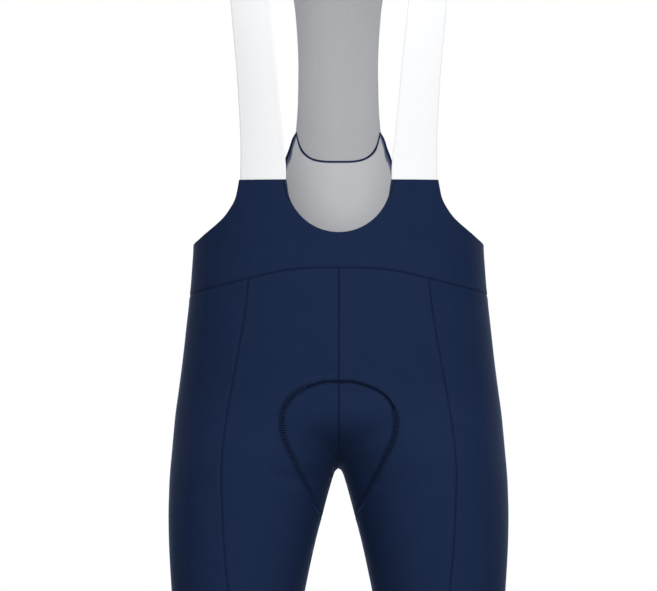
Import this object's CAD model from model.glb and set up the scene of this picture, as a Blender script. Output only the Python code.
import math

import bpy
import numpy as np
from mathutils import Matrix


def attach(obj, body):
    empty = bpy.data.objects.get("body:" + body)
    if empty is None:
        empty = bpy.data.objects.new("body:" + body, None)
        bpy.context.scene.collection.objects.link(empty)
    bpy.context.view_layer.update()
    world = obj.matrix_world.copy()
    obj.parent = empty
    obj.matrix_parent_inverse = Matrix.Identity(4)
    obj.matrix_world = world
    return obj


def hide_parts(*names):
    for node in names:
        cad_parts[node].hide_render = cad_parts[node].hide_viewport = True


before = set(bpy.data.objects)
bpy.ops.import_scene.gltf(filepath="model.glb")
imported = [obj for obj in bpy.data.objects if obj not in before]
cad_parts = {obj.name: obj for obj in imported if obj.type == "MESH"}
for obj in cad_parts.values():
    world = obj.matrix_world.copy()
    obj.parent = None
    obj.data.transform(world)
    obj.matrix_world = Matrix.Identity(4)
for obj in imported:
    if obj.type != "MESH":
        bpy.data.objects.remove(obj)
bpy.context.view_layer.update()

bl_info = {
    "name": "Cycling Bib Shorts",
    "version": (1, 0, 0),
    "blender": (4, 5, 0),
    "location": "View3D > Sidebar > Bib Shorts",
    "description": "Dresses the bib shorts in stretch knit, webbing, mesh, stitches and a seat pad",
    "category": "Object",
}

MM = 0.001

# Sizes in millimetres; heights count from the crotch seam, and the shoulders are at the origin.
SHOULDER_RISE = 655
INSEAM = 235
LEG_BAND_DEPTH = 50
LEG_LENGTH = 385
BAND_TOP = LEG_BAND_DEPTH - INSEAM
HEM_FOLD = 9
SCOOP_RADIUS = 52.4
BIB_TOP = 291
SIDE_TURN = 100
SIDE_HEIGHT = 226.5
SEAM_GAP = 0.3
LAYER_GAP = 0.7
STRAP_TUCK = 13
STRAP_GAP = 0.9
STRAP_ON_FIGURE_BELOW = 470
STRAP_ON_BACK_BELOW = 585
STRAP_LIFT_OFF = 80
STRAP_FAN = 3.6
STRAP_FAN_FROM = 345
STRAP_FAN_LENGTH = 50
PAD_GAP = 1.6
PAD_MIDDLE_GAP = 3
PAD_EDGE = 2
PAD_MIDDLE = 8
PAD_LEAST = 1.2
PAD_CHANNEL = 2.2
PAD_RELIEF = 2.6
LINING_MARGIN = 2.6
LINING_ARC_MARGIN = 1.6
FOLD_WIDTH = 2.6

# The figure inside: how square its sections are, and how its legs run into its torso
TORSO_SQUARENESS = 2.35
LEG_SQUARENESS = 2.12
CROTCH_ROUNDING = 9
SEAT_ROUNDING = 120
LEGS_APART_BELOW = -6
TORSO_ABOVE = 92
CENTRE_EYE = 110
REACH = 260

# Seams and stitches: depths, widths and how dark they are
SEAM_GROOVE = 0.36
SEAM_GROOVE_WIDTH = 0.85
ALLOWANCE_RISE = 0.16
SEAM_SHADE = 0.34
SEAM_SHADE_WIDTH = 1.25
CENTRE_SEAM_SHADE = 0.62
EDGE_ROLL = 0.3
NARROW_STITCH = 1.75
WIDE_STITCH = 3.3
STITCH_RADIUS = 0.29
STITCH_SIDES = 4
STITCH_SLANT = 0.95
STITCH_REST = 0.3
PAD_GROOVE = 0.6
ALLOWANCE_THICKNESS = 0.55

# Each grid's columns and rows, with the length in millimetres that they divide
FRONT_BIB_COLUMNS, FRONT_BIB_ROWS = (170, 520), (34, 90)
BACK_BIB_COLUMNS, BACK_BIB_ROWS = (156, 400), (46, 120)
MESH_COLUMNS, MESH_ROWS = (72, 95), (92, 240)
INNER_PANEL_COLUMNS, INNER_PANEL_ROWS = (78, 130), (200, LEG_LENGTH)
SIDE_PANEL_COLUMNS, SIDE_PANEL_ROWS = (60, 150), (126, LEG_LENGTH)
LEG_BAND_COLUMNS, LEG_BAND_ROWS = 220, (18, LEG_BAND_DEPTH)
STRAP_COLUMNS, STRAP_ROWS = 18, 260
PAD_COLUMNS, PAD_ROWS = (34, 60), (110, 330)
CENTRE_ROWS = 11
PANEL_ROWS = 18
CROTCH_SHARE = CENTRE_ROWS / PANEL_ROWS
ARC_COLUMNS = 12
PAD_LINE_POINTS = 1400
EDGES = ("top", "bottom", "start", "end")
NEAR_EDGE = np.array([0.35, 0.8, 1.4, 2.2, 3.2, 4.6, 6.2])

# Stations along the bib's seam, from the middle of the front to the middle of the back
FRONT_STATION = 12
SIDE_STATION = 17
BACK_STATION = 20
LAST_STATION = 30

MIRROR = np.array([-1.0, 1.0, 1.0])


class Table:
    """Rows of named columns, read on a smooth curve through the rows."""

    def __init__(self, names, rows):
        rows = sorted(rows)
        self.key = np.array([row[0] for row in rows], float)
        self.columns = {name: np.array([row[k] for row in rows], float) for k, name in enumerate(names)}

    def read(self, name, at):
        key = self.key
        value = self.columns[name]
        at = np.clip(np.asarray(at, float), key[0], key[-1])
        slope = np.diff(value) / np.diff(key)
        tangent = np.concatenate([slope[:1], (slope[:-1] + slope[1:]) / 2, slope[-1:]])
        i = np.clip(np.searchsorted(key, at, "left") - 1, 0, len(key) - 2)
        step = key[i + 1] - key[i]
        t = (at - key[i]) / step
        rise = value[i + 1] - value[i]
        bend = (1 - t) * (tangent[i] * step - rise) - t * (tangent[i + 1] * step - rise)
        return value[i] + t * rise + t * (1 - t) * bend


TORSO = Table(("height", "half_width", "front", "back"), [
    (640, 130, 36, 52), (600, 150, 62, 80), (550, 164, 86, 103), (500, 169, 102, 116),
    (450, 166, 110, 119), (400, 160, 111, 114), (350, 154, 108, 104), (300, 150, 104, 95),
    (260, 148.2, 102, 91), (225, 147.8, 101, 90), (200, 149.4, 101, 93), (175, 151.5, 101, 99),
    (140, 155.6, 101, 109), (110, 159.1, 100, 117), (80, 163.1, 98, 121), (50, 167.2, 96, 120),
    (20, 169.7, 94, 113), (-20, 172.6, 92, 98),
])
LEG = Table(("height", "outer", "inner", "front", "back"), [
    (210, 148.9, -30, 101, 92), (140, 155.6, -30, 101, 109), (95, 161.2, -26, 99, 119),
    (60, 165.9, -18, 97, 120), (30, 169, -9, 95, 116), (10, 170.7, -3.4, 93.5, 109),
    (0, 171.6, 1.9, 92.7, 105), (-6, 172, 4.6, 92.3, 102.5), (-12, 172.4, 6.6, 92, 100),
    (-27, 172.9, 10.9, 91, 95), (-43, 173.3, 15.2, 90, 90.5), (-73, 172.9, 23.1, 87.5, 84),
    (-104, 171.4, 30, 84, 79), (-150, 168.3, 39, 78, 73.5), (-190, 165.3, 45.5, 73, 70),
    (-240, 161.5, 51, 67, 67),
])
BIB_SEAM = Table(("turn", "height"), [
    (0, 203), (20, 202.4), (32, 199.7), (45, 193.6), (60, 185.4), (75, 178.4), (90, 174.5),
    (110, 174), (145, 180), (180, 184),
])
# Edges as (turn, height) rows: 0 degrees is the middle of the front
FRONT_ARMHOLE = [
    (51.2, BIB_TOP), (52.2, 282), (53.6, 272), (56.2, 262.5), (59.8, 253.2), (64.4, 245.4),
    (69.8, 238.4), (76.5, 231.6), (86, 227.2), (SIDE_TURN, SIDE_HEIGHT),
]
BACK_ARMHOLE = [
    (SIDE_TURN, SIDE_HEIGHT), (110, 230), (122, 240), (134, 256), (143, 275), (147.2, 294),
    (148.9, 306), (150, 316.5), (152.7, 329.5), (154.7, 340),
]
# Edges as (x, height) rows, seen straight from the front or the back
BACK_ARC = [(42.6, 338), (39.5, 329.5), (34.5, 322.6), (27.7, 318), (18, 315.6), (0, 315)]
MESH_SIDE = [
    (44.4, 346), (42.6, 370), (41.9, 400), (42, 425), (43.6, 455), (46.8, 485), (54, 515),
    (66.5, 541), (81.6, 558.4),
]
MESH_NOTCH = [(44.4, 583.6), (31, 564), (16, 552), (0, 548.5)]
FRONT_SEAM = Table(("height", "x"), [
    (190, 90.4), (168, 92.8), (141, 97), (117, 101.3), (94, 105.4), (71, 109.8), (50, 113),
    (31, 115.6), (13, 117.2), (-8, 117.6), (-30, 117), (-77, 114.8), (-120, 110.6),
    (-160, 105.6), (-190, 102.6),
])
BACK_SEAM = Table(("height", "x"), [
    (181, 84), (120, 96), (60, 108), (0, 114), (-60, 114), (-120, 110), (-190, 104),
])
PAD_FRONT = [
    (14, 89.5), (25, 86.8), (36, 82.4), (46.3, 75.6), (54, 65), (57, 52.5), (56.3, 40.5),
    (52.8, 28), (47.2, 16), (42, 4), (35.7, -8.5), (29.2, -21), (23.6, -34.5),
]
PAD_AT_INSEAM = -50
PAD_BACK = [
    (24, -36), (31, -22), (42, -4), (55, 16), (65, 38), (70, 62), (67, 86), (56, 104),
    (38, 114), (14, 118),
]
# The left strap's middle line: x, y, height and how far it leans towards the body
STRAP_ROUTE = [
    (76, -88, BIB_TOP - STRAP_TUCK, 17), (76.4, -93, 330, 17), (81.2, -98, 370, 17),
    (86, -101, 410, 16), (93, -99, 465, 15), (98.4, -87, 520, 16), (101.2, -70, 570, 18),
    (101.6, -49, 611, 20), (102, -26, 641, 22), (101, 0, SHOULDER_RISE + 0.6, 23),
    (97.4, 27, 646, 21), (89.4, 52, 622, 17), (76, 74, 593, 12), (63, 87, 571, 9),
    (55.6, 93, 559.5, 8),
]

# Soft creases: front (-1) or back (1), from (x, height) to (x, height), depth and width
CREASES = [
    (-1, (20, 6), (66, 34), 0.9, 7), (-1, (-17, 9), (-54, 44), 0.7, 8),
    (-1, (27, -12), (72, -4), 0.8, 6), (-1, (-24, -10), (-78, 6), 1.0, 7),
    (-1, (118, 172), (141, 160), 0.7, 8), (-1, (-120, 168), (-146, 150), 0.6, 7),
    (-1, (96, -150), (128, -138), 0.6, 9), (-1, (-90, -140), (-136, -152), 0.7, 8),
    (-1, (60, 238), (96, 226), 0.6, 7), (-1, (-56, 234), (-104, 222), 0.5, 8),
    (1, (18, 4), (82, -22), 1.6, 8), (1, (-20, 2), (-88, -16), 1.4, 9),
    (1, (34, -18), (96, -44), 0.9, 7), (1, (-30, -22), (-84, -52), 1.0, 8),
    (1, (12, 176), (88, 166), 0.9, 9), (1, (-10, 170), (-74, 163), 0.8, 8),
    (1, (30, 214), (104, 206), 1.0, 10), (1, (-22, 220), (-96, 209), 0.9, 9),
    (1, (-14, 262), (-48, 250), 0.6, 8), (1, (60, -140), (118, -128), 0.7, 9),
    (1, (-62, -132), (-120, -142), 0.6, 8),
]

# Each finish: its colour's name and tone, its seams' share of that colour or their own colour, the
# wale's length in metres, and how rough, cloudy, deep, flecked and glossy the cloth is
FINISHES = {
    "smooth_navy_knit": dict(
        colour="navy", seam=0.25, wale=0.0011, roughness=0.7, sheen=0.2, cloud=0.1, depth=0.18,
        gloss=0.011),
    "firm_navy_elastic": dict(
        colour="navy", tone=0.9, seam=0.3, wale=0.0022, roughness=0.7, sheen=0.2, cloud=0.08,
        depth=0.5, gloss=0.011),
    "heathered_lining": dict(
        colour="lining", seam=(0.085, 0.1, 0.165), wale=0.0012, roughness=0.8, sheen=0.02,
        cloud=0.06, depth=0.3, fleck=0.16),
    "heathered_mesh": dict(
        colour="grey", seam=0.75, wale=0.0018, roughness=0.8, sheen=0.02, cloud=0.05, depth=0.55,
        fleck=0.2),
    "white_webbing": dict(
        colour="white", seam=0.9, wale=0.0016, roughness=0.72, sheen=0, cloud=0.02, depth=0.2),
    "brushed_pad_cloth": dict(
        colour="pad", seam=0.5, wale=0.002, roughness=0.9, sheen=0.3, cloud=0.12, depth=0.5),
    "glossy_navy_thread": dict(
        colour="navy", tone=1.9, seam=1.9, wale=0.0008, roughness=0.5, sheen=0.02, cloud=0.15,
        depth=0.2),
}
LOOP_DEPTH = 0.0004
SHEEN_ROUGHNESS = 0.22
SHEEN_TINT = (0.45, 0.6, 1.0, 1)
USUAL_FINISH = {
    "shorts_knit": "smooth_navy_knit", "band_knit": "firm_navy_elastic",
    "grey_lining": "heathered_lining", "grey_mesh": "heathered_mesh",
    "strap_webbing": "white_webbing", "pad_cloth": "brushed_pad_cloth",
}


def smoothstep(t):
    t = np.clip(t, 0, 1)
    return t * t * (3 - 2 * t)


def smootherstep(t):
    t = np.clip(t, 0, 1)
    return t * t * t * (t * (t * 6 - 15) + 10)


def swell(distance, width):
    """1 at no distance, falling softly to 0 within about two widths."""
    return np.exp(-(distance / width) ** 2)


def unit(vectors):
    return vectors / np.linalg.norm(vectors, axis=-1, keepdims=True)


def running_length(points):
    """The length from a line's first point to each of its points."""
    return np.concatenate([[0], np.cumsum(np.linalg.norm(np.diff(points, axis=0), axis=1))])


def points_along(line, length, where):
    return np.stack([np.interp(where, length, column) for column in line.T], -1)


def outside(x, y, half_width, half_depth, squareness):
    """How far a point lies outside a rounded rectangle, as a rough distance."""
    reach = np.abs(x / half_width) ** squareness + np.abs(y / half_depth) ** squareness
    return (reach ** (1 / squareness) - 1) * np.minimum(half_width, half_depth)


def torso_section(height):
    width, front, back = (TORSO.read(name, height) for name in ("half_width", "front", "back"))
    return 0 * front, (back - front) / 2, width, (back + front) / 2


def leg_section(height):
    outer, inner, front, back = (LEG.read(name, height) for name in ("outer", "inner", "front", "back"))
    return (outer + inner) / 2, (back - front) / 2, (outer - inner) / 2, (back + front) / 2


def figure(p):
    """The figure that the shorts are filled out on: negative inside, zero on the cloth's face."""
    x, y, height = p[..., 0], p[..., 1], p[..., 2]
    share = smootherstep((height - LEGS_APART_BELOW) / (TORSO_ABOVE - LEGS_APART_BELOW))
    _, cy, width, depth = torso_section(height)
    body = outside(x, y - cy, width, depth, TORSO_SQUARENESS)
    cx, cy, width, depth = leg_section(height)
    near = outside(x - cx, y - cy, width, depth, LEG_SQUARENESS)
    far = outside(-x - cx, y - cy, width, depth, LEG_SQUARENESS)
    rounding = CROTCH_ROUNDING + (SEAT_ROUNDING - CROTCH_ROUNDING) * share
    overlap = np.maximum(rounding - np.abs(near - far), 0) / rounding
    legs = np.minimum(near, far) - overlap * overlap * rounding / 4
    return legs + (body - legs) * share


def normals_at(p):
    """Unit normals of the figure, pointing out."""
    return unit(np.stack([figure(p + step) - figure(p - step) for step in np.eye(3) * 0.5], -1))


def cross(origin, way, reach=REACH):
    """The points where straight ways out of the figure cross the cloth."""
    low = np.zeros(np.shape(origin)[:-1])
    high = low + reach
    for _ in range(34):
        middle = (low + high) / 2
        inside = figure(origin + way * middle[..., None]) < 0
        low = np.where(inside, middle, low)
        high = np.where(inside, high, middle)
    return origin + way * high[..., None]


def point_at(section, address):
    """A point on the cloth from its turn round the section's axis and its height."""
    address = np.asarray(address, float)
    turn, height = np.radians(address[..., 0]), address[..., 1]
    cx, cy, _, _ = section(height)
    way = np.stack([np.sin(turn), -np.cos(turn), 0 * turn], -1)
    towards_other = (cx > 0) & (way[..., 0] < 0)
    safe = np.where(towards_other, way[..., 0], -1)
    reach = np.where(towards_other, np.minimum(-cx / safe, REACH), REACH)
    return cross(np.stack([cx, cy, height], -1), way, reach)


def address_of(section, p, lowest_turn=-180):
    cx, cy, _, _ = section(p[..., 2])
    turn = np.degrees(np.arctan2(p[..., 0] - cx, cy - p[..., 1]))
    turn = np.where(turn < lowest_turn, turn + 360, turn)
    return np.stack([turn, p[..., 2]], -1)


def seen_at(x, height, side):
    """A point on the cloth seen straight from the front (-1) or the back (1)."""
    x, height = np.broadcast_arrays(np.asarray(x, float), np.asarray(height, float))
    on_torso = height > TORSO_ABOVE
    cy = np.where(on_torso, torso_section(height)[1], leg_section(height)[1])
    way = np.broadcast_to(np.array([0.0, side, 0.0]), x.shape + (3,))
    return cross(np.stack([x, cy, height], -1), way)


def curve_through(points, per_span=48):
    """A smooth curve through points, as a function of the share of its length."""
    p = np.asarray(points, float)
    p = np.vstack([2 * p[0] - p[1], p, 2 * p[-1] - p[-2]])
    gap = np.maximum(np.linalg.norm(np.diff(p, axis=0), axis=1) ** 0.5, 1e-6)
    t = np.linspace(0, 1, per_span, endpoint=False)[:, None]
    spans = []
    for k in range(1, len(p) - 2):
        a, b, c, d = p[k - 1:k + 3]
        da, db, dc = gap[k - 1:k + 2]
        m1 = ((b - a) / da - (c - a) / (da + db) + (c - b) / db) * db
        m2 = ((c - b) / db - (d - b) / (db + dc) + (d - c) / dc) * db
        spans.append(b + m1 * t + (3 * (c - b) - 2 * m1 - m2) * t ** 2 + (2 * (b - c) + m1 + m2) * t ** 3)
    line = np.vstack(spans + [p[-2:-1]])
    length = running_length(line)
    return lambda share: points_along(line, length, np.clip(np.asarray(share, float), 0, 1) * length[-1])


def straight(a, b):
    """The straight line between two addresses."""
    def at(share):
        share = np.asarray(share, float)[..., None]
        return np.asarray(a) * (1 - share) + np.asarray(b) * share
    return at


def back_to_front(line):
    return lambda share: line(1 - np.asarray(share, float))


def flipped(line):
    return lambda share: line(share) * np.array([-1.0, 1.0])


def past_middle(address):
    """The same address on the other side of the middle of the back."""
    return address * np.array([-1.0, 1.0]) + np.array([360.0, 0.0])


def beyond(line):
    return lambda share: past_middle(line(share))


def seen_from_behind(rows):
    rows = np.array(rows, float)
    return address_of(torso_section, seen_at(rows[:, 0], rows[:, 1], 1), 0)


def across_back(rows):
    """A line right across the back, from the rows of its left half."""
    half = seen_from_behind(rows)
    return curve_through(np.vstack([half, past_middle(half[:-1][::-1])]))


def joined(parts):
    """Lines end to end, each with its own number of columns."""
    ends = np.concatenate([[0], np.cumsum([columns for columns, _ in parts])])

    def at(share):
        where = np.asarray(share, float) * ends[-1]
        result = np.zeros(where.shape + (2,))
        for end, (columns, line) in zip(ends, parts):
            here = where >= end - 1e-9
            result[here] = line(np.clip((where[here] - end) / columns, 0, 1))
        return result
    return at


def meeting_turn(table, side):
    """The turn at which a thigh seam meets the bib's seam."""
    top = table.key[-1]
    return float(address_of(torso_section, seen_at(table.read("x", top), top, side), 0)[0])


STATION_KEYS = [0, FRONT_STATION, SIDE_STATION, BACK_STATION, LAST_STATION]
STATION_TURNS = [0, meeting_turn(FRONT_SEAM, -1), SIDE_TURN, meeting_turn(BACK_SEAM, 1), 180]


def bib_seam(station):
    """Addresses along the seam between the bib and the legs."""
    station = np.asarray(station, float)
    past = station > LAST_STATION
    folded = np.where(past, 2 * LAST_STATION - station, np.abs(station))
    turn = np.interp(folded, STATION_KEYS, STATION_TURNS)
    height = BIB_SEAM.read("height", turn)
    turn = np.where(past, 360 - turn, np.where(station < 0, -turn, turn))
    return np.stack([turn, height], -1)


def along_bib_seam(start, end):
    return lambda share: bib_seam(start + (end - start) * np.asarray(share, float))


def bib_seam_from_leg(start, end, lowest_turn):
    line = along_bib_seam(start, end)
    return lambda share: address_of(leg_section, point_at(torso_section, line(share)), lowest_turn)


def filled_in(top, bottom, start, end, along, down):
    """Addresses filled in between four edges."""
    s = along[None, :, None]
    t = down[:, None, None]
    first, last = np.array([0.0]), np.array([1.0])
    a = top(along)[None] * (1 - t) + bottom(along)[None] * t
    b = start(down)[:, None] * (1 - s) + end(down)[:, None] * s
    c = top(first)[None] * (1 - s) * (1 - t) + top(last)[None] * s * (1 - t)
    d = bottom(first)[None] * (1 - s) * t + bottom(last)[None] * s * t
    return a + b - c - d


def shares(count, length, keep=()):
    """Even shares of a length, with closer ones near both ends for the rolled edges."""
    near = NEAR_EDGE / length
    even = np.linspace(0, 1, count + 1)
    inner = even[(even > near[-1] * 1.25) & (even < 1 - near[-1] * 1.25)]
    kept = [k for k in keep if near[-1] < k < 1 - near[-1]]
    return np.unique(np.round(np.concatenate([[0, 1], near, 1 - near, inner, kept]), 9))


def edge_distances(grid):
    """How far each point of a grid lies from the grid's four edges, in millimetres."""
    across = np.linalg.norm(np.diff(grid, axis=1), axis=2)
    down = np.linalg.norm(np.diff(grid, axis=0), axis=2)
    from_start = np.concatenate([np.zeros((grid.shape[0], 1)), np.cumsum(across, 1)], 1)
    from_top = np.concatenate([np.zeros((1, grid.shape[1])), np.cumsum(down, 0)], 0)
    return {
        "start": from_start,
        "end": from_start[:, -1:] - from_start,
        "top": from_top,
        "bottom": from_top[-1:] - from_top,
    }


def trimmed(grid, **room):
    """Moves named edges back, square to the edge."""
    views = {
        "start": (grid[:, 0], grid[:, 1]), "end": (grid[:, -1], grid[:, -2]),
        "top": (grid[0], grid[1]), "bottom": (grid[-1], grid[-2]),
    }
    for name, by in room.items():
        line, inside = views[name]
        along = unit(np.gradient(line, axis=0))
        inwards = inside - line
        inwards = unit(inwards - along * np.sum(inwards * along, axis=1, keepdims=True))
        line += inwards * by
    return grid


def inset(grid, margin):
    """Draws the top of a grid back by a margin, and gives how steeply each column meets it."""
    along = unit(np.gradient(grid[0], axis=0))
    down = unit(grid[6] - grid[0])
    slant = np.sqrt(np.maximum(1 - np.sum(along * down, axis=1) ** 2, 0.1))
    depth = edge_distances(grid)["top"]
    result = np.empty_like(grid)
    for i, room in enumerate(margin / slant):
        where = room + depth[:, i] * (1 - room / depth[-1, i])
        result[:, i] = points_along(grid[:, i], depth[:, i], where)
    return result, slant


class StitchLine:
    """The closed line round the seat pad, with each point's way out from the pad."""

    def __init__(self, points):
        self.points = points
        self.along = unit(np.roll(points, -1, 0) - np.roll(points, 1, 0))
        self.normal = normals_at(points)
        self.out = unit(np.cross(self.along, self.normal))
        if self.out[np.argmax(points[:, 0]), 0] < 0:
            self.out = -self.out
        self.spread = stitch_spread(points)

    def offset(self, p):
        """How far points lie outside the line, and how far the stitches spread there."""
        flat = p.reshape(-1, 3)
        result = np.full(len(flat), 1e3)
        spread = np.zeros(len(flat))
        low, high = self.points.min(0) - 25, self.points.max(0) + 25
        near = np.flatnonzero(np.all((flat > low) & (flat < high), axis=1))
        for start in range(0, len(near), 4000):
            some = near[start:start + 4000]
            gap = np.linalg.norm(flat[some][:, None] - self.points[None], axis=2)
            closest = gap.argmin(1)
            way = flat[some] - self.points[closest]
            across = np.sum(way * self.out[closest], axis=1)
            along = np.abs(np.sum(way * self.along[closest], axis=1))
            result[some] = np.where(along < 3, across, np.copysign(gap.min(1), across))
            spread[some] = self.spread[closest]
        return result.reshape(p.shape[:-1]), spread.reshape(p.shape[:-1])


def stitch_spread(points):
    """Where the pad's cover stitch shows wide, from 0 on its narrow stretches to 1."""
    x, height = points[:, 0], points[:, 2]
    wide = np.where(x > 0, smoothstep((68 - height) / 12), smoothstep((-x - 24) / 14))
    return np.where(points[:, 1] < 0, np.maximum(wide, smoothstep((56 - height) / 10)), 1)


def stitch_reach(spread):
    """How far the stitches reach on each side of the line."""
    return NARROW_STITCH + (WIDE_STITCH - NARROW_STITCH) * spread


def pad_relief(offset, spread):
    """The cloth is drawn in along the pad's stitches and stands up a little beside them."""
    reach = stitch_reach(spread)
    groove = -PAD_GROOVE * np.exp(-(offset / reach) ** 4)
    return groove + 0.34 * swell(offset - reach - 2.0, 1.5) + 0.14 * swell(offset + reach + 2.4, 2.2)


def near_crotch(grid):
    """1 where the centre seam lies flat between the legs, falling to 0 away from there."""
    return swell(grid[..., 2], 26) * (1 - smoothstep((np.abs(grid[..., 0]) - 30) / 20))


def crease_lift(p):
    """Soft troughs and ridges, placed by hand."""
    lift = np.zeros(p.shape[:-1])
    for side, start, end, depth, width in CREASES:
        start, end = np.array(start, float), np.array(end, float)
        way = end - start
        q = np.stack([p[..., 0], p[..., 2]], -1) - start
        t = np.clip((q @ way) / (way @ way), 0, 1)
        off = q - t[..., None] * way
        bow = 0.12 * np.linalg.norm(way) * np.sin(np.pi * t)
        gap = np.hypot(off[..., 0], off[..., 1] + bow)
        taper = np.sin(np.pi * np.clip(t * 0.9 + 0.05, 0, 1)) ** 0.8
        fold = depth * (0.45 * swell(gap - 1.6 * width, width) - swell(gap, width))
        lift += np.where(p[..., 1] * side > 0, fold * taper, 0)
    return lift


def hang(name, points, faces, slot, node=None, cut=None, seam=None, finish=None):
    """Makes a named piece from points in millimetres above the crotch, in the body's frame."""
    mesh = bpy.data.meshes.new(name)
    placed = (np.asarray(points, float) - np.array([0, 0, SHOULDER_RISE])) * MM
    mesh.from_pydata(placed.tolist(), [], [list(map(int, f)) for f in faces])
    mesh.validate()
    mesh.update()
    for polygon in mesh.polygons:
        polygon.use_smooth = True
    if cut is not None:
        layer = mesh.uv_layers.new(name="cut")
        index = np.zeros(len(mesh.loops), int)
        mesh.loops.foreach_get("vertex_index", index)
        layer.data.foreach_set("uv", cut[index].ravel())
    if seam is not None:
        layer = mesh.attributes.new("seam", "FLOAT", "POINT")
        layer.data.foreach_set("value", seam)
    piece = bpy.data.objects.new(name, mesh)
    bpy.context.scene.collection.objects.link(piece)
    piece.data.materials.append(material_for(finish or USUAL_FINISH[slot]))
    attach(piece, "root")
    if node:
        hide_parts(node)
    return piece


def quads(a, b, c, d):
    return np.stack([a, b, c, d], -1).reshape(-1, 4)


def shell(grid, upper, lower, normals=None, ring=False):
    """Points, faces and cut coordinates of a closed wall over a grid."""
    rows, columns = grid.shape[:2]
    n = normals_at(grid) if normals is None else normals
    outer, inner = (grid + n * np.broadcast_to(lift, (rows, columns))[..., None] for lift in (upper, lower))
    index = np.arange(rows * columns).reshape(rows, columns)
    if ring:
        index = np.concatenate([index, index[:, :1]], 1)
    inside = index + rows * columns
    faces = [
        quads(index[:-1, :-1], index[1:, :-1], index[1:, 1:], index[:-1, 1:]),
        quads(inside[:-1, :-1], inside[:-1, 1:], inside[1:, 1:], inside[1:, :-1]),
        quads(index[0, :-1], index[0, 1:], inside[0, 1:], inside[0, :-1]),
        quads(index[-1, 1:], index[-1, :-1], inside[-1, :-1], inside[-1, 1:]),
    ]
    if not ring:
        faces += [
            quads(index[1:, 0], index[:-1, 0], inside[:-1, 0], inside[1:, 0]),
            quads(index[:-1, -1], index[1:, -1], inside[1:, -1], inside[:-1, -1]),
        ]
    gap = edge_distances(grid)
    cut = np.stack([gap["start"] - gap["start"][:, -1:] / 2, -gap["top"]], -1).reshape(-1, 2) * MM
    points = np.concatenate([outer.reshape(-1, 3), inner.reshape(-1, 3)])
    return points, np.concatenate(faces), np.concatenate([cut, cut])


def sewn(node, grid, upper, lower, slot, mark, normals=None, ring=False):
    """A piece of cloth as a closed wall over a grid, in place of its solid."""
    points, faces, cut = shell(grid, upper, lower, normals, ring)
    mark = np.broadcast_to(mark, grid.shape[:2]).ravel()
    piece = hang(f"cloth_{node}", points, faces, slot, node, cut, np.concatenate([mark, mark]))
    return piece


def knit_relief(grid, seams, free, pad_line=None):
    """Lift of a panel's outer face: rolled seams, seam allowances, clean-cut edges and creases."""
    gap = edge_distances(grid)
    lift = crease_lift(grid)
    mark = np.zeros(grid.shape[:2])
    flat = 1 - 0.85 * near_crotch(grid)
    for name in seams:
        d = gap[name]
        centre = name in ("start", "end") and np.abs(grid[0, 0 if name == "start" else -1, 0]) < 1
        shade = CENTRE_SEAM_SHADE if centre else SEAM_SHADE
        width = SEAM_GROOVE_WIDTH if centre else SEAM_SHADE_WIDTH
        lift = lift - SEAM_GROOVE * swell(d, SEAM_GROOVE_WIDTH) * flat
        lift = lift + ALLOWANCE_RISE * smoothstep((d - 1.2) / 1.6) * (1 - smoothstep((d - 5) / 2.4)) * flat
        mark = np.maximum(mark, shade * swell(d, width) * flat)
    for name in free:
        lift = lift - EDGE_ROLL * swell(gap[name], 0.45)
    if pad_line is not None:
        d, spread = pad_line.offset(grid)
        lift = lift + pad_relief(d, spread) * (1 - 0.7 * smoothstep((-18 - grid[..., 2]) / 20))
        mark = np.maximum(mark, np.exp(-(d / stitch_reach(spread)) ** 4))
    return lift, mark


def millimetres(name):
    return getattr(bpy.context.scene.bib_shorts, name) / MM


def panel(node, grid, seams, free=(), pad_line=None):
    """One cut piece of navy knit, with its relief and seams."""
    lift, mark = knit_relief(grid, seams, free, pad_line)
    sewn(node, grid, lift, -millimetres("knit_thickness"), "shorts_knit", mark)


def mirrored(grid):
    return (grid * MIRROR)[:, ::-1].copy()


def leg_seam(table, side):
    """A thigh seam as addresses round the leg's axis."""
    top = point_at(torso_section, bib_seam(FRONT_STATION if side < 0 else BACK_STATION))
    height = np.linspace(top[2], BAND_TOP, 27)
    x = table.read("x", height)
    x[0] = top[0]
    return curve_through(address_of(leg_section, seen_at(x, height, side), -180 if side < 0 else 0))


def centre_and_inseam(side):
    """The centre seam down to the crotch, then the inseam, a hair to the wearer's left."""
    room = SEAM_GAP / 8
    middle = float(leg_section(0)[1])
    top = float(bib_seam(0 if side < 0 else LAST_STATION)[1])
    down = np.arange(top, CENTRE_EYE, -6.0)
    dip = np.radians(np.arange(0, 91, 3))
    way = np.stack([0 * dip, side * np.cos(dip), -np.sin(dip)], -1)
    eye = np.broadcast_to(np.array([room, middle + side * room, CENTRE_EYE]), way.shape)
    points = np.vstack([seen_at(np.full(down.shape, room), down, side), cross(eye, way)])
    centre = curve_through(points, 12)
    crotch = points[-1, 2]

    def at(share):
        row = np.asarray(share, float) * PANEL_ROWS
        on_centre = centre(np.clip(row / CENTRE_ROWS, 0, 1))
        below = np.clip((row - CENTRE_ROWS) / (PANEL_ROWS - CENTRE_ROWS), 0, 1)
        height = crotch + (BAND_TOP - crotch) * below
        off = np.degrees(room / leg_section(height)[2])
        on_inseam = point_at(leg_section, np.stack([-90 - side * off, height], -1))
        return np.where((row <= CENTRE_ROWS)[..., None], on_centre, on_inseam)
    return at


def band_line(first_seam, last_seam):
    """The leg band's seam between the feet of two seams of the leg."""
    turns = [seam(np.array([1.0]))[0, 0] for seam in (first_seam, last_seam)]
    return straight((turns[0], BAND_TOP), (turns[1], BAND_TOP))


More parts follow.
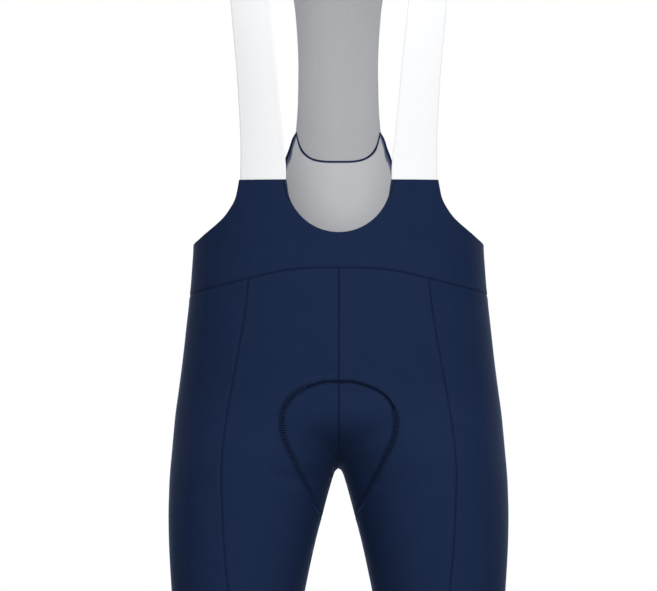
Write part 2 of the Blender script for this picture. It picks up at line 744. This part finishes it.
def inner_panel_grid(side, seam, station):
    lowest = -180 if side < 0 else 0
    medial = centre_and_inseam(side)
    down = shares(*INNER_PANEL_ROWS, keep=[CROTCH_SHARE])
    along = shares(*INNER_PANEL_COLUMNS)

    def start(share):
        return address_of(leg_section, medial(share), lowest)
    top = bib_seam_from_leg(0 if side < 0 else LAST_STATION, station, lowest)
    grid = point_at(leg_section, filled_in(top, band_line(start, seam), start, seam, along, down))
    grid[:, 0] = medial(down)
    room = SEAM_GAP / 2
    trimmed(grid, top=room, bottom=room, end=room)
    return grid if side < 0 else grid[:, ::-1].copy()


def side_panel_grid(front_seam, back_seam):
    room = SEAM_GAP / 2
    along, down = shares(*SIDE_PANEL_COLUMNS), shares(*SIDE_PANEL_ROWS)
    top = bib_seam_from_leg(FRONT_STATION, BACK_STATION, -180)
    bottom = band_line(front_seam, back_seam)
    addresses = filled_in(top, bottom, front_seam, back_seam, along, down)
    return trimmed(point_at(leg_section, addresses), top=room, bottom=room, start=room, end=room)


def pad_edge_line():
    """The seat pad's left edge as addresses round the leg's axis, from the front to the back."""
    front = np.array(PAD_FRONT, float)
    back = np.array(PAD_BACK, float)
    on_front = address_of(leg_section, seen_at(front[:, 0], front[:, 1], -1))
    on_back = address_of(leg_section, seen_at(back[:, 0], back[:, 1], 1), 0) - np.array([360.0, 0.0])
    return curve_through(np.vstack([on_front, [[-90, PAD_AT_INSEAM]], on_back]))


def pad_stitch_line(count):
    """The pad's stitch line as a closed loop of points on the cloth."""
    half = point_at(leg_section, pad_edge_line()(np.linspace(0, 1, count // 2)))
    front, back = (
        seen_at(np.linspace(half[end, 0], 0, 8)[1:], np.full(7, rows[end][1] + 0.4), side)
        for end, rows, side in ((0, PAD_FRONT, -1), (-1, PAD_BACK, 1))
    )
    left = np.vstack([front[::-1], half, back])
    closed = np.vstack([left, left[::-1][1:-1] * MIRROR, left[:1]])
    length = running_length(closed)
    return points_along(closed, length, np.linspace(0, length[-1], count, endpoint=False))


def thread(points, radius, sides):
    """A short tube along points, closed at both ends, as points and faces."""
    p = np.asarray(points, float)
    along = unit(np.gradient(p, axis=0))
    helper = np.where(np.abs(along[:, 2:3]) > 0.8, [[1.0, 0, 0]], [[0, 0, 1.0]])
    u = unit(np.cross(along, helper))
    v = np.cross(along, u)
    angle = np.linspace(0, 2 * np.pi, sides, endpoint=False)[None, :, None]
    ring = u[:, None] * np.cos(angle) + v[:, None] * np.sin(angle)
    faces = []
    for j in range(len(p) - 1):
        for k in range(sides):
            a, b = j * sides + k, j * sides + (k + 1) % sides
            faces.append((a, b, b + sides, a + sides))
    last = (len(p) - 1) * sides
    faces += [tuple(range(sides))[::-1], tuple(range(last, last + sides))]
    return (p[:, None] + radius * ring).reshape(-1, 3), faces


def stitched(name, strands, slot, finish):
    """Many short threads joined into one piece."""
    all_points, all_faces, count = [], [], 0
    for strand in strands:
        points, faces = thread(strand, STITCH_RADIUS, STITCH_SIDES)
        all_points.append(points)
        all_faces += [tuple(k + count for k in face) for face in faces]
        count += len(points)
    hang(name, np.vstack(all_points), all_faces, slot, finish=finish)


def add_node(tree, kind, *feeds, **values):
    """Adds a node, feeds its sockets from other nodes' outputs and sets its values."""
    node = tree.nodes.new(kind)
    for key, value in values.items():
        if key in node.inputs:
            node.inputs[key].default_value = value
        else:
            setattr(node, key, value)
    for socket, feed in feeds:
        tree.links.new(feed, node.inputs[socket])
    return node


def mix_colours(tree, factor, a, b):
    """A mix of two colours or colour sockets by a factor socket."""
    mix = add_node(tree, "ShaderNodeMix", (0, factor), data_type="RGBA")
    for socket, value in ((mix.inputs[6], a), (mix.inputs[7], b)):
        if hasattr(value, "default_value"):
            tree.links.new(value, socket)
        else:
            socket.default_value = (*value, 1)
    return mix.outputs[2]


def tinted(colour, share):
    return tuple(min(1.0, c * share) for c in colour)


def material_for(name):
    """A finish as a stretch knit: fine wales and courses, cloudy colour, dark seams, soft sheen."""
    if name in bpy.data.materials:
        return bpy.data.materials[name]
    material = bpy.data.materials.new(name)
    material.use_nodes = True
    tree = material.node_tree
    shader = tree.nodes["Principled BSDF"]
    finish = {"tone": 1, "fleck": 0, "gloss": 0.05, **FINISHES[name]}
    own = tuple(getattr(bpy.context.scene.bib_shorts, finish["colour"]))
    colour = tinted(own, finish["tone"])
    seam_colour = finish["seam"] if isinstance(finish["seam"], tuple) else tinted(own, finish["seam"])
    cut = add_node(tree, "ShaderNodeUVMap", uv_map="cut").outputs["UV"]
    drawn = add_node(tree, "ShaderNodeMapping", ("Vector", cut), Scale=(1.0, 0.35, 1.0)).outputs["Vector"]
    cloud = add_node(tree, "ShaderNodeTexNoise", ("Vector", cut), Scale=48.0, Detail=4.0, Roughness=0.6)
    fleck = add_node(tree, "ShaderNodeTexNoise", ("Vector", drawn), Scale=950.0, Detail=2.0, Roughness=0.7)
    wales, courses = (
        add_node(tree, "ShaderNodeTexWave", ("Vector", cut), bands_direction=axis,
                 Scale=math.tau / finish["wale"] / per_turn, Distortion=wander)
        for axis, per_turn, wander in (("X", 20, 0.4), ("Y", 14, 0.6))
    )
    base = mix_colours(tree, cloud.outputs["Fac"], tinted(colour, 1 - finish["cloud"]),
                       tinted(colour, 1 + finish["cloud"]))
    if finish["fleck"]:
        flecks = mix_colours(tree, fleck.outputs["Fac"], tinted(colour, 1 - finish["fleck"]),
                             tinted(colour, 1 + finish["fleck"]))
        part = add_node(tree, "ShaderNodeValue").outputs[0]
        part.default_value = 0.6
        base = mix_colours(tree, part, base, flecks)
    seam = add_node(tree, "ShaderNodeAttribute", attribute_name="seam").outputs["Fac"]
    tree.links.new(mix_colours(tree, seam, base, seam_colour), shader.inputs["Base Color"])
    rough = add_node(tree, "ShaderNodeMapRange", ("Value", cloud.outputs["Fac"]), **{
        "To Min": finish["roughness"] - 0.05, "To Max": finish["roughness"] + 0.05})
    tree.links.new(rough.outputs["Result"], shader.inputs["Roughness"])
    loops = add_node(tree, "ShaderNodeMath", (0, wales.outputs["Fac"]), (1, courses.outputs["Fac"]),
                     operation="MULTIPLY")
    uneven = add_node(tree, "ShaderNodeMath", (0, loops.outputs[0]), (1, fleck.outputs["Fac"]),
                      operation="ADD")
    bump = add_node(tree, "ShaderNodeBump", ("Height", uneven.outputs[0]), Strength=finish["depth"],
                    Distance=LOOP_DEPTH)
    tree.links.new(bump.outputs["Normal"], shader.inputs["Normal"])
    shader.inputs["Sheen Weight"].default_value = finish["sheen"]
    shader.inputs["Sheen Roughness"].default_value = SHEEN_ROUGHNESS
    shader.inputs["Sheen Tint"].default_value = SHEEN_TINT
    shader.inputs["Specular IOR Level"].default_value = finish["gloss"]
    return material


def length(name, description, default, least, most):
    """A length that the panel offers, in metres."""
    return bpy.props.FloatProperty(
        name=name, description=description, default=default, min=least, max=most, unit="LENGTH",
        subtype="DISTANCE")


def shade(name, description, default):
    """A colour that the panel offers."""
    return bpy.props.FloatVectorProperty(
        name=name, description=description, default=default, size=3, min=0, max=1, subtype="COLOR")


class BibShortsSettings(bpy.types.PropertyGroup):
    """Sizes and colours of the shorts' cloth."""

    knit_thickness: length("Knit thickness", "Thickness of the navy knit", 0.0014, 0.0006, 0.003)
    mesh_thickness: length(
        "Mesh thickness", "Thickness of the grey mesh and lining", 0.0011, 0.0005, 0.003)
    strap_width: length("Strap width", "Width of a shoulder strap", 0.044, 0.03, 0.06)
    strap_thickness: length("Strap thickness", "Thickness of the webbing", 0.0012, 0.0006, 0.003)
    band_thickness: length(
        "Leg band thickness", "Thickness of the elastic round each hem", 0.0016, 0.0008, 0.003)
    stitch_pitch: length("Stitch pitch", "Length of one stitch round the pad", 0.0024, 0.0015, 0.006)
    seam_allowance: length(
        "Seam allowance", "Width of the cloth turned in at a seam", 0.0056, 0.003, 0.012)
    navy: shade("Navy", "Colour of the shorts' knit", (0.0108, 0.0212, 0.0580))
    grey: shade("Grey", "Colour of the mesh back", (0.388, 0.396, 0.414))
    lining: shade("Lining", "Colour of the lining inside the back", (0.462, 0.469, 0.488))
    white: shade("White", "Colour of the straps", (0.862, 0.869, 0.882))
    pad: shade("Pad", "Colour of the seat pad's cover", (0.03, 0.042, 0.08))


class BIBSHORTS_OT_front_bib(bpy.types.Operator):
    """Makes the front bib with its scoop, tabs and armholes"""

    bl_idname = "bibshorts.front_bib"
    bl_label = "Front Bib"

    def execute(self, context):
        def scoop(share):
            swing = np.pi * np.asarray(share, float)
            height = BIB_TOP - SCOOP_RADIUS * np.sin(swing)
            return address_of(torso_section, seen_at(-SCOOP_RADIUS * np.cos(swing), height, -1))
        armhole = curve_through(FRONT_ARMHOLE)
        tab = straight(scoop(1.0), armhole(0.0))
        side = straight(armhole(1.0), bib_seam(SIDE_STATION))
        top = joined([
            (9, flipped(back_to_front(armhole))), (2, flipped(back_to_front(tab))), (12, scoop),
            (2, tab), (9, armhole),
        ])
        bottom = along_bib_seam(-SIDE_STATION, SIDE_STATION)
        along, down = shares(*FRONT_BIB_COLUMNS), shares(*FRONT_BIB_ROWS)
        addresses = filled_in(top, bottom, flipped(side), side, along, down)
        room = SEAM_GAP / 2
        grid = trimmed(point_at(torso_section, addresses), bottom=room, start=room, end=room)
        panel("front_bib", grid, ("bottom", "start", "end"), ("top",))
        return {"FINISHED"}


def back_arc():
    return across_back(MESH_SIDE[:1] + BACK_ARC)


def back_bib_grid():
    """The back bib's grid, untrimmed, and which of its columns end on the arc."""
    armhole = curve_through(np.vstack([BACK_ARMHOLE, seen_from_behind(MESH_SIDE[:1])]))
    total = 2 * (LAST_STATION - SIDE_STATION)
    armhole_columns = (total - ARC_COLUMNS) // 2
    top = joined([
        (armhole_columns, armhole), (ARC_COLUMNS, back_arc()),
        (armhole_columns, back_to_front(beyond(armhole))),
    ])
    bottom = along_bib_seam(SIDE_STATION, SIDE_STATION + total)
    start = straight((SIDE_TURN, SIDE_HEIGHT), bib_seam(SIDE_STATION))
    along, down = shares(*BACK_BIB_COLUMNS), shares(*BACK_BIB_ROWS)
    grid = point_at(torso_section, filled_in(top, bottom, start, beyond(start), along, down))
    column = along * total
    return grid, (column > armhole_columns + 1e-6) & (column < total - armhole_columns - 1e-6)


class BIBSHORTS_OT_back_bib(bpy.types.Operator):
    """Makes the navy back bib and the grey lining inside it"""

    bl_idname = "bibshorts.back_bib"
    bl_label = "Back Bib and Lining"

    def execute(self, context):
        room = SEAM_GAP / 2
        grid, on_arc = back_bib_grid()
        outer = trimmed(grid.copy(), top=room, bottom=room, start=room, end=room)
        panel("back_bib", outer, ("bottom", "start", "end"), ("top",))
        trimmed(grid, bottom=room, start=room, end=room)
        grid, slant = inset(grid, np.where(on_arc, LINING_ARC_MARGIN, LINING_MARGIN))
        gap = edge_distances(grid)["top"] * slant
        mark = np.where(on_arc[None], 0.45 * swell(gap, 0.6), np.exp(-(gap / FOLD_WIDTH) ** 8))
        face = -millimetres("knit_thickness") - LAYER_GAP
        sewn("back_lining", grid, face, face - millimetres("mesh_thickness"), "grey_lining", mark)
        return {"FINISHED"}


class BIBSHORTS_OT_mesh_back(bpy.types.Operator):
    """Makes the mesh back panel with its two arms"""

    bl_idname = "bibshorts.mesh_back"
    bl_label = "Mesh Back"

    def execute(self, context):
        side = curve_through(seen_from_behind(MESH_SIDE))
        notch = across_back(MESH_NOTCH)
        arm_end = straight(side(1.0), notch(0.0))
        top = joined([
            (3, arm_end), (ARC_COLUMNS - 6, notch), (3, back_to_front(beyond(arm_end))),
        ])
        start = back_to_front(side)
        along, down = shares(*MESH_COLUMNS), shares(*MESH_ROWS)
        grid = point_at(torso_section, filled_in(top, back_arc(), start, beyond(start), along, down))
        trimmed(grid, bottom=SEAM_GAP / 2)
        gap = edge_distances(grid)
        upper = -EDGE_ROLL * (swell(gap["start"], 0.5) + swell(gap["end"], 0.5))
        mark = 0.5 * swell(gap["bottom"], 1.2)
        sewn("mesh_back", grid, upper, -millimetres("mesh_thickness"), "grey_mesh", mark)
        return {"FINISHED"}


class BIBSHORTS_OT_leg_panels(bpy.types.Operator):
    """Makes the front, side and back panels of both legs"""

    bl_idname = "bibshorts.leg_panels"
    bl_label = "Leg Panels"

    def execute(self, context):
        pad_line = StitchLine(pad_stitch_line(PAD_LINE_POINTS))
        front_seam = leg_seam(FRONT_SEAM, -1)
        back_seam = leg_seam(BACK_SEAM, 1)
        for kind, grid, line in (
            ("front", inner_panel_grid(-1, front_seam, FRONT_STATION), pad_line),
            ("back", inner_panel_grid(1, back_seam, BACK_STATION), pad_line),
            ("side", side_panel_grid(front_seam, back_seam), None),
        ):
            panel(f"{kind}_panel_left", grid, EDGES, (), line)
            panel(f"{kind}_panel_right", mirrored(grid), EDGES, (), line)
        return {"FINISHED"}


class BIBSHORTS_OT_leg_bands(bpy.types.Operator):
    """Makes the elastic band round each leg hem"""

    bl_idname = "bibshorts.leg_bands"
    bl_label = "Leg Bands"

    def execute(self, context):
        turn = np.linspace(-90, 270, LEG_BAND_COLUMNS, endpoint=False)
        top = BAND_TOP - SEAM_GAP / 2
        height = top + (-INSEAM - top) * shares(*LEG_BAND_ROWS)
        grid = point_at(leg_section, np.stack(np.broadcast_arrays(turn[None, :], height[:, None]), -1))
        for hand, cut_grid in (("left", grid), ("right", mirrored(grid))):
            gap = edge_distances(cut_grid)
            top_gap, hem_gap = gap["top"], gap["bottom"]
            lift = -0.9 * swell(top_gap, 1.1) - 0.5 * swell(hem_gap, 0.6)
            lift = lift - 0.35 * swell(hem_gap - HEM_FOLD, 0.7)
            mark = swell(top_gap, 1.3) + 0.5 * swell(hem_gap - HEM_FOLD, 0.8)
            sewn(f"leg_band_{hand}", cut_grid, lift, -millimetres("band_thickness"), "band_knit", mark,
                 ring=True)
        return {"FINISHED"}


def strap_grid(width, thickness, across):
    """The left strap's middle surface and its normals, from the tab over the shoulder to the mesh."""
    route = np.array(STRAP_ROUTE, float)
    share = np.linspace(0, 1, STRAP_ROWS + 1)
    p = curve_through(route[:, :3], 40)(share)
    along = unit(np.gradient(p, axis=0))
    knots = running_length(route[:, :3])
    lean = np.radians(np.interp(share, knots / knots[-1], route[:, 3]))
    out = unit(np.stack([0 * share, -along[:, 2], along[:, 1]], -1))
    level = unit(np.cross(along, out))
    out = np.cross(level, along)
    cos, sin = np.cos(lean)[:, None], np.sin(lean)[:, None]
    wide = level * cos - out * sin
    facing = out * cos + level * sin
    fan = STRAP_FAN * smoothstep((STRAP_FAN_FROM - p[:, 2]) / STRAP_FAN_LENGTH) * (p[:, 1] < 0)
    inner = np.sign((wide[:, 0] > 0) - 0.5)
    spread = (inner * fan)[:, None] * np.clip(0.5 - inner[:, None] * (across - 0.5)[None], 0, 1)
    offset = ((across - 0.5) * width)[None] - spread
    grid = p[:, None] + wide[:, None] * offset[..., None]
    normal = np.broadcast_to(facing[:, None], grid.shape)
    front = grid[..., 1] < 0
    release = np.where(front, STRAP_ON_FIGURE_BELOW, STRAP_ON_BACK_BELOW)
    reach = np.where(front, STRAP_LIFT_OFF, STRAP_LIFT_OFF / 2)
    hold = (1 - smoothstep((grid[..., 2] - release) / reach))[..., None]
    on_figure = point_at(torso_section, address_of(torso_section, grid, 0))
    n = normals_at(on_figure)
    cloth = np.where(front, millimetres("knit_thickness"), millimetres("mesh_thickness"))
    tuck = (cloth + STRAP_GAP + thickness / 2)[..., None]
    grid = grid * (1 - hold) + (on_figure - n * tuck) * hold
    normal = unit(normal * (1 - hold) + n * hold)
    return grid[::-1].copy(), normal[::-1].copy()


class BIBSHORTS_OT_straps(bpy.types.Operator):
    """Makes the two shoulder straps"""

    bl_idname = "bibshorts.straps"
    bl_label = "Shoulder Straps"

    def execute(self, context):
        width, thickness = millimetres("strap_width"), millimetres("strap_thickness")
        across = shares(STRAP_COLUMNS, width)
        grid, normal = strap_grid(width, thickness, across)
        edge = np.minimum(np.minimum(across, 1 - across) * width, 6)
        upper = (thickness / 2 + 0.05 * swell(edge - 2.0, 1.0)) * (1 - 0.7 * swell(edge, 0.4))
        mark = 0.25 * swell(edge, 2.6)
        for hand in ("left", "right"):
            sewn(f"strap_{hand}", grid, upper, -upper, "strap_webbing", mark, normal)
            grid, normal = mirrored(grid), mirrored(normal)
        return {"FINISHED"}


class BIBSHORTS_OT_seat_pad(bpy.types.Operator):
    """Makes the seat pad inside the shorts, crowned and thin at its edge"""

    bl_idname = "bibshorts.seat_pad"
    bl_label = "Seat Pad"

    def execute(self, context):
        middle = float(leg_section(0)[1])
        first, last = (
            math.atan2(CENTRE_EYE - height, abs(float(seen_at(0.0, height, side)[1]) - middle))
            for height, side in ((PAD_FRONT[0][1], -1), (PAD_BACK[-1][1], 1))
        )
        dip = np.linspace(first, math.pi - last, 200)
        way = np.stack([0 * dip, -np.cos(dip), -np.sin(dip)], -1)
        eye = np.broadcast_to(np.array([0.0, middle, CENTRE_EYE]), way.shape)
        down = shares(*PAD_ROWS)
        out = shares(*PAD_COLUMNS)
        inner = curve_through(cross(eye, way), 4)(down)
        start = address_of(leg_section, inner, -360)
        end = pad_edge_line()(down)
        share = out[None, :, None]
        half = point_at(leg_section, start[:, None] * (1 - share) + end[:, None] * share)
        half[:, 0] = inner
        grid = np.concatenate([(half * MIRROR)[:, :0:-1], half], 1)
        across = np.concatenate([-out[:0:-1], out])
        side_fall = np.minimum(1, 1.3 * np.cos(np.pi * across / 2))
        end_fall = np.minimum(1, 1.6 * np.sin(np.pi * down))[:, None]
        full = end_fall * side_fall
        channel = swell(np.abs(across) - 0.42, 0.045) * end_fall
        seat = smoothstep((down - 0.22) / 0.1) * (1 - smoothstep((down - 0.72) / 0.1))
        relief = swell(across, 0.05) * seat[:, None]
        face = -millimetres("knit_thickness") - (PAD_GAP + (PAD_MIDDLE_GAP - PAD_GAP) * full)
        depth = PAD_EDGE + (PAD_MIDDLE - PAD_EDGE) * full - PAD_CHANNEL * channel - PAD_RELIEF * relief
        near = np.min([*edge_distances(grid).values()], axis=0)
        mark = swell(near, 1.2) + 0.4 * channel + 0.4 * relief
        piece = sewn("seat_pad", grid, face, face - np.maximum(depth, PAD_LEAST), "pad_cloth", mark)
        return {"FINISHED"}


class BIBSHORTS_OT_stitches(bpy.types.Operator):
    """Sews the zigzag cover stitch round the pad"""

    bl_idname = "bibshorts.stitches"
    bl_label = "Stitches"

    def execute(self, context):
        dense = pad_stitch_line(PAD_LINE_POINTS)
        length = np.linalg.norm(np.roll(dense, -1, 0) - dense, axis=1).sum()
        count = int(length / millimetres("stitch_pitch"))
        line = StitchLine(pad_stitch_line(count))
        reach = stitch_reach(line.spread)

        def on_cloth(k, share):
            """A point across the band at stitch k, resting on the drawn-in cloth."""
            off = share * reach[k]
            p = line.points[k] + line.out[k] * off
            lift = crease_lift(p[None])[0] + pad_relief(off, line.spread[k]) + STITCH_REST
            return p + line.normal[k] * lift
        strands = []
        for k in range(count):
            after = (k + 1) % count
            if line.spread[k] > 0.5:
                slant = -STITCH_SLANT if line.points[k, 0] < 0 else STITCH_SLANT
                strands.append([on_cloth(k, slant), on_cloth(k, 0), on_cloth(after, -slant)])
            a, b = on_cloth(k, 1.12), on_cloth(after, 1.12)
            strands.append([a + (b - a) * 0.15, a + (b - a) * 0.7])
        stitched("stitches_round_pad", strands, "shorts_knit", "glossy_navy_thread")
        return {"FINISHED"}


def strip_along(points, offsets, near, far, closed=False):
    """A narrow band of cloth that follows a line on the figure, inside it."""
    p = np.asarray(points, float)
    along = unit(np.roll(p, -1, 0) - np.roll(p, 1, 0) if closed else np.gradient(p, axis=0))
    n = normals_at(p)
    across = unit(np.cross(along, n))
    offsets = np.reshape(offsets, (-1, 1))
    grid = p[None] + across[None] * offsets[..., None]
    thin = 0.16 * (np.abs(offsets) / np.max(np.abs(offsets))) ** 4 * (near - far)
    return shell(grid, near - thin, far + thin, np.broadcast_to(n[None], grid.shape), closed)


def merged(name, parts, slot):
    """Several shells as one piece."""
    points, faces, cuts = zip(*parts)
    starts = np.cumsum([0] + [len(p) for p in points[:-1]])
    faces = np.vstack([f + start for f, start in zip(faces, starts)])
    hang(name, np.vstack(points), faces, slot, cut=np.vstack(cuts))


class BIBSHORTS_OT_seam_allowances(bpy.types.Operator):
    """Lays the overlocked seam allowances inside every seam"""

    bl_idname = "bibshorts.seam_allowances"
    bl_label = "Seam Allowances"

    def execute(self, context):
        near = -millimetres("knit_thickness") - 0.05
        far = near - ALLOWANCE_THICKNESS
        across = np.array([-1, -0.8, -0.3, 0.3, 0.8, 1]) * millimetres("seam_allowance") / 2
        stations = np.linspace(-LAST_STATION, LAST_STATION, 300, endpoint=False)
        parts = [strip_along(point_at(torso_section, bib_seam(stations)), across, near, far, True)]
        share = np.linspace(0.012, 0.988, 150)
        turn = np.linspace(-90, 270, 160, endpoint=False)
        band = point_at(leg_section, np.stack([turn, 0 * turn + BAND_TOP], -1))
        height = np.linspace(SIDE_HEIGHT - 0.5, float(bib_seam(SIDE_STATION)[1]) + 3.2, 24)
        seams = [
            point_at(leg_section, leg_seam(FRONT_SEAM, -1)(share)),
            point_at(leg_section, leg_seam(BACK_SEAM, 1)(share)),
            point_at(torso_section, np.stack([0 * height + SIDE_TURN, height], -1)),
        ]
        for way in (np.ones(3), MIRROR):
            parts.append(strip_along(band * way, across, near, far, True))
            parts += [strip_along(seam * way, across, near, far) for seam in seams]
        front = centre_and_inseam(-1)(np.linspace(0.012, CROTCH_SHARE, 90))
        back = centre_and_inseam(1)(np.linspace(CROTCH_SHARE, 0.012, 90))
        centre = np.vstack([front, back[1:]]) * np.array([0.0, 1.0, 1.0])
        parts.append(strip_along(centre, across, near, far))
        inseam = centre_and_inseam(-1)(np.linspace(CROTCH_SHARE + 0.03, 0.988, 60))
        parts += [strip_along(inseam * way, across, near, far) for way in (np.ones(3), MIRROR)]
        merged("seam_allowances", parts, "shorts_knit")
        arc = point_at(torso_section, back_arc()(np.linspace(0.004, 0.996, 120)))
        merged("arc_binding", [strip_along(arc, [-0.75, -0.4, 0.4, 0.75], near, far)], "shorts_knit")
        return {"FINISHED"}


# The photo's scale and framing
PHOTO_WIDTH = 657
PHOTO_HEIGHT = 591
PHOTO_MIDDLE_X = 338.5
PHOTO_CROTCH_Y = 467.5
METRES_PER_PIXEL = 0.00102
CAMERA_DISTANCE = 4.0
SENSOR_WIDTH = 36.0
FLOOR_DROP = 0.80
FLOOR_RADIUS = 2.4

# Each light's place, size and power, in metres and watts; all are aimed at the shorts' middle
LIGHTS = {
    "key_light": ((2.6, -2.8, 0.4), 1.2, 39),
    "fill_light": ((-0.2, -3.9, -0.1), 1.8, 103),
    "back_light": ((0.3, 3.2, 0.8), 1.8, 20),
    "left_rim_light": ((2.2, 2.4, -0.3), 1.0, 30),
    "right_rim_light": ((-2.2, 2.4, -0.3), 1.0, 20),
}
SHORTS_MIDDLE = np.array([0, 0, -0.45])

# The sky's light by height: dark from below, bright from overhead
SKY_LIGHT = {"From Min": -0.15, "To Min": 0.01, "To Max": 0.88}


def area_light(name, location, size, power):
    light = bpy.data.lights.new(name, "AREA")
    light.shape = "DISK"
    light.size = size
    light.energy = power
    lamp = bpy.data.objects.new(name, light)
    bpy.context.scene.collection.objects.link(lamp)
    lamp.location = location
    way = SHORTS_MIDDLE - np.array(location)
    yaw = math.atan2(way[1], way[0]) - math.pi / 2
    pitch = math.atan2(way[2], math.hypot(way[0], way[1]))
    lamp.rotation_euler = (math.pi / 2 + pitch, 0, yaw)


class BIBSHORTS_OT_stage(bpy.types.Operator):
    """Sets the pale floor, the soft studio light and the camera"""

    bl_idname = "bibshorts.stage"
    bl_label = "Stage"

    def execute(self, context):
        scene = context.scene
        floor_level = -SHOULDER_RISE * MM - FLOOR_DROP
        bpy.ops.mesh.primitive_circle_add(
            vertices=96, radius=FLOOR_RADIUS, fill_type="NGON", location=(0, 0, floor_level))
        floor = context.object
        floor.name = "studio_floor"
        pale = bpy.data.materials.new("pale_floor")
        pale.use_nodes = True
        tree = pale.node_tree
        shader = tree.nodes["Principled BSDF"]
        grain = add_node(tree, "ShaderNodeTexNoise", Scale=40.0, Detail=3.0)
        paint = mix_colours(tree, grain.outputs["Fac"], (0.84, 0.84, 0.85), (0.88, 0.88, 0.88))
        seen = add_node(tree, "ShaderNodeLightPath").outputs["Is Camera Ray"]
        tree.links.new(mix_colours(tree, seen, (0.12, 0.12, 0.12), paint), shader.inputs["Base Color"])
        shader.inputs["Roughness"].default_value = 0.9
        floor.data.materials.append(pale)
        scene.world = bpy.data.worlds.new("studio")
        scene.world.use_nodes = True
        tree = scene.world.node_tree
        sky = tree.nodes["Background"]
        sky.inputs["Color"].default_value = (1, 1, 1, 1)
        way = add_node(tree, "ShaderNodeTexCoord").outputs["Generated"]
        rise = add_node(tree, "ShaderNodeSeparateXYZ", (0, way)).outputs["Z"]
        ambient = add_node(tree, "ShaderNodeMapRange", ("Value", rise), **SKY_LIGHT)
        seen = add_node(tree, "ShaderNodeLightPath").outputs["Is Camera Ray"]
        strength = add_node(tree, "ShaderNodeMix", (0, seen), (2, ambient.outputs["Result"]))
        strength.inputs[3].default_value = 1.0
        tree.links.new(strength.outputs[0], sky.inputs["Strength"])
        for name, (location, size, power) in LIGHTS.items():
            area_light(name, location, size, power)
        camera = bpy.data.cameras.new("photo_view")
        camera.sensor_width = SENSOR_WIDTH
        camera.sensor_fit = "HORIZONTAL"
        camera.lens = SENSOR_WIDTH * CAMERA_DISTANCE / (METRES_PER_PIXEL * PHOTO_WIDTH)
        camera.clip_end = 100
        view = bpy.data.objects.new("photo_view", camera)
        scene.collection.objects.link(view)
        across = (PHOTO_WIDTH / 2 - PHOTO_MIDDLE_X) * METRES_PER_PIXEL
        up = (PHOTO_CROTCH_Y - PHOTO_HEIGHT / 2) * METRES_PER_PIXEL - SHOULDER_RISE * MM
        view.location = (across, -CAMERA_DISTANCE, up)
        view.rotation_euler = (math.pi / 2, 0, 0)
        scene.camera = view
        scene.view_settings.view_transform = "Standard"
        return {"FINISHED"}


class BIBSHORTS_PT_panel(bpy.types.Panel):
    """Sizes, colours and steps of the bib shorts"""

    bl_label = "Bib Shorts"
    bl_idname = "BIBSHORTS_PT_panel"
    bl_space_type = "VIEW_3D"
    bl_region_type = "UI"
    bl_category = "Bib Shorts"

    def draw(self, context):
        size = context.scene.bib_shorts
        for name in size.__annotations__:
            self.layout.prop(size, name)
        for step in STEPS:
            self.layout.operator(step.bl_idname)


STEPS = (
    BIBSHORTS_OT_stage,
    BIBSHORTS_OT_leg_panels,
    BIBSHORTS_OT_leg_bands,
    BIBSHORTS_OT_front_bib,
    BIBSHORTS_OT_back_bib,
    BIBSHORTS_OT_mesh_back,
    BIBSHORTS_OT_straps,
    BIBSHORTS_OT_seat_pad,
    BIBSHORTS_OT_stitches,
    BIBSHORTS_OT_seam_allowances,
)
CLASSES = (BibShortsSettings, *STEPS, BIBSHORTS_PT_panel)


def register():
    for each in CLASSES:
        bpy.utils.register_class(each)
    bpy.types.Scene.bib_shorts = bpy.props.PointerProperty(type=BibShortsSettings)


def unregister():
    del bpy.types.Scene.bib_shorts
    for each in reversed(CLASSES):
        bpy.utils.unregister_class(each)


def main():
    register()
    bpy.ops.bibshorts.stage()
    bpy.ops.bibshorts.leg_panels()
    bpy.ops.bibshorts.leg_bands()
    bpy.ops.bibshorts.front_bib()
    bpy.ops.bibshorts.back_bib()
    bpy.ops.bibshorts.mesh_back()
    bpy.ops.bibshorts.straps()
    bpy.ops.bibshorts.seat_pad()
    bpy.ops.bibshorts.stitches()
    bpy.ops.bibshorts.seam_allowances()


if __name__ == "__main__":
    main()
